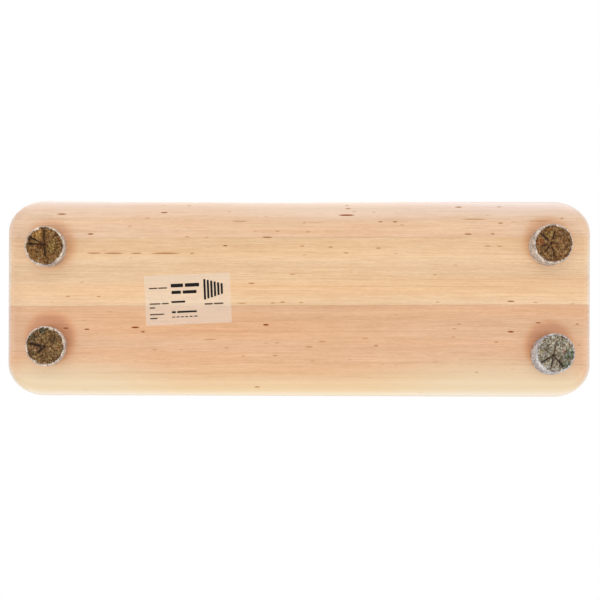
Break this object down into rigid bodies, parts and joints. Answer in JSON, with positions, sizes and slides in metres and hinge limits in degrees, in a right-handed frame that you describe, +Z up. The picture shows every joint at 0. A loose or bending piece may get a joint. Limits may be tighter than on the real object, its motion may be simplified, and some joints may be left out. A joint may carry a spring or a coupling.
{
  "type": "log drum",
  "caption": "Wooden box drum with tuned tongues sawn into its hardwood top, glued up from planks and standing on round felt feet screwed to its base.",
  "frame": {"origin": "on the floor under the middle of the box, where the felt feet stand", "axes": "+X along the drum to its right end, +Y across it to its rear, +Z up from the feet to the tongues"},
  "size_m": [0.6, 0.204, 0.15],
  "materials": {
    "pink_alder": "satin lacquer, grain along the drum, a few dark flecks, slightly pink",
    "pale_alder": "satin lacquer, grain along the drum, a few dark flecks, pale honey",
    "rosy_alder": "satin lacquer, grain along the drum, a few dark flecks, slightly darker",
    "wall_alder": "satin lacquer, grain along each board, end grain on the fingers",
    "padauk": "satin oil, red-brown with darker streaks and open pores",
    "felt": "needled mixed-fibre felt, brown with pale and dark fibres",
    "steel": "bright zinc-plated screw",
    "film": null
  },
  "bodies": {
    "root": {"base_stave_front": "pink_alder", "base_stave_middle": "pale_alder", "base_stave_rear": "rosy_alder", "long_wall_front": "wall_alder", "long_wall_rear": "wall_alder", "end_wall_left": "wall_alder", "end_wall_right": "wall_alder", "tongue_plate": "padauk", "felt_foot_front_left": "felt", "felt_foot_front_right": "felt", "felt_foot_rear_left": "felt", "felt_foot_rear_right": "felt", "foot_screw_front_left": "steel", "foot_screw_front_right": "steel", "foot_screw_rear_left": "steel", "foot_screw_rear_right": "steel", "label": "film"}
  },
  "joints": []
}
